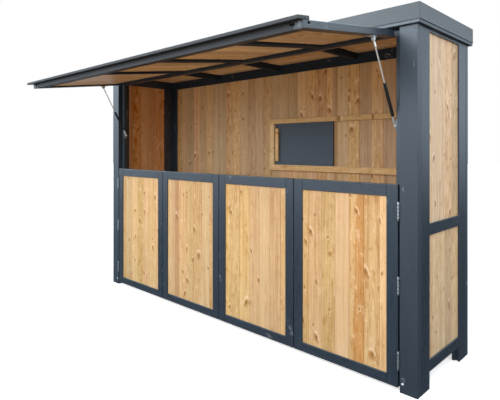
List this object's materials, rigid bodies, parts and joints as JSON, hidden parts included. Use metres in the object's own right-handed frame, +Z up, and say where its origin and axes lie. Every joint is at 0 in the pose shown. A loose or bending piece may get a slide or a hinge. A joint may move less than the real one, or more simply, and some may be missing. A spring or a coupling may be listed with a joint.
{
  "type": "barbecue shelter",
  "caption": "Timber barbecue shelter with a flat roof, an awning flap on gas struts over a serving opening, folding counter doors and a sliding back hatch.",
  "frame": {"origin": "on the ground, under the middle of the whole outline with the flap open", "axes": "+X to the right seen from the front, along the counter; +Y to the back; +Z up"},
  "size_m": [3.092, 1.611, 2.05],
  "materials": {
    "painted_timber": "satin opaque stain, anthracite",
    "natural_boards": "planed natural softwood boards, unfinished",
    "natural_timber": "planed natural softwood",
    "trim": "satin coated roof edge trim",
    "roof_membrane": "matt roofing membrane",
    "zinc_plate": "zinc plated",
    "strut_rod": "bright rod",
    "strut_tube": "black satin"
  },
  "bodies": {
    "shelter": {"front_board_left": "painted_timber", "front_board_right": "painted_timber", "back_board_left": "painted_timber", "back_board_right": "painted_timber", "front_stile_left": "painted_timber", "front_stile_right": "painted_timber", "back_stile_left": "painted_timber", "back_stile_right": "painted_timber", "side_rails_left": "painted_timber", "side_rails_right": "painted_timber", "side_panels_left": "natural_boards", "side_panels_right": "natural_boards", "back_rails": "painted_timber", "back_panel_lower": "natural_boards", "back_panel_left": "natural_boards", "back_panel_right": "natural_boards", "back_panel_hatch_bay": "natural_boards", "front_beam": "painted_timber", "rafters": "painted_timber", "roof_deck": "natural_boards", "roof_cover": "roof_membrane", "fascia_boards": "painted_timber", "edge_trim": "trim", "stop_battens": "painted_timber", "door_1_frame": "painted_timber", "door_1_panel": "natural_boards", "door_2_frame": "painted_timber", "door_2_panel": "natural_boards", "door_3_frame": "painted_timber", "door_3_panel": "natural_boards", "door_4_frame": "painted_timber", "door_4_panel": "natural_boards", "door_hinges": "zinc_plate", "hatch_rails": "natural_timber", "hatch_jambs": "natural_timber", "flap_hinges_fixed": "zinc_plate", "strut_plates": "zinc_plate"},
    "flap": {"flap_hinges_moving": "zinc_plate", "flap_frame": "painted_timber", "flap_panels": "natural_boards", "flap_batten": "painted_timber", "flap_brackets": "zinc_plate"},
    "rod_left": {"strut_rod_left": "strut_rod"},
    "rod_right": {"strut_rod_right": "strut_rod"},
    "tube_left": {"strut_tube_left": "strut_tube"},
    "tube_right": {"strut_tube_right": "strut_tube"},
    "hatch": {"hatch_panel": "painted_timber", "hatch_handle": "natural_timber"}
  },
  "joints": [
    {"name": "flap_hinge", "type": "hinge", "parent": "shelter", "child": "flap", "pos_m": [0, 0.02952, 1.932], "axis": [1, 0, 0], "range_deg": [0, 82.5]},
    {"name": "strut_tilt_left", "type": "hinge", "parent": "flap", "child": "rod_left", "pos_m": [-1.374, -0.14784, 1.85418], "axis": [1, 0, 0], "range_deg": [-112, 1]},
    {"name": "strut_slide_left", "type": "slide", "parent": "rod_left", "child": "tube_left", "axis": [0, 0.4797, -0.8774], "range_m": [-0.1698, 0.001]},
    {"name": "strut_tilt_right", "type": "hinge", "parent": "flap", "child": "rod_right", "pos_m": [1.374, -0.14784, 1.85418], "axis": [1, 0, 0], "range_deg": [-112, 1]},
    {"name": "strut_slide_right", "type": "slide", "parent": "rod_right", "child": "tube_right", "axis": [0, 0.4797, -0.8774], "range_m": [-0.1698, 0.001]},
    {"name": "hatch_slide", "type": "slide", "parent": "shelter", "child": "hatch", "axis": [1, 0, 0], "range_m": [0, 0.54]}
  ],
  "couplings": [
    {"joint": "strut_tilt_left", "follows": "flap_hinge", "ratio": -1.3347},
    {"joint": "strut_slide_left", "follows": "flap_hinge", "m_per_rad": -0.11721},
    {"joint": "strut_tilt_right", "follows": "flap_hinge", "ratio": -1.3347},
    {"joint": "strut_slide_right", "follows": "flap_hinge", "m_per_rad": -0.11721}
  ]
}
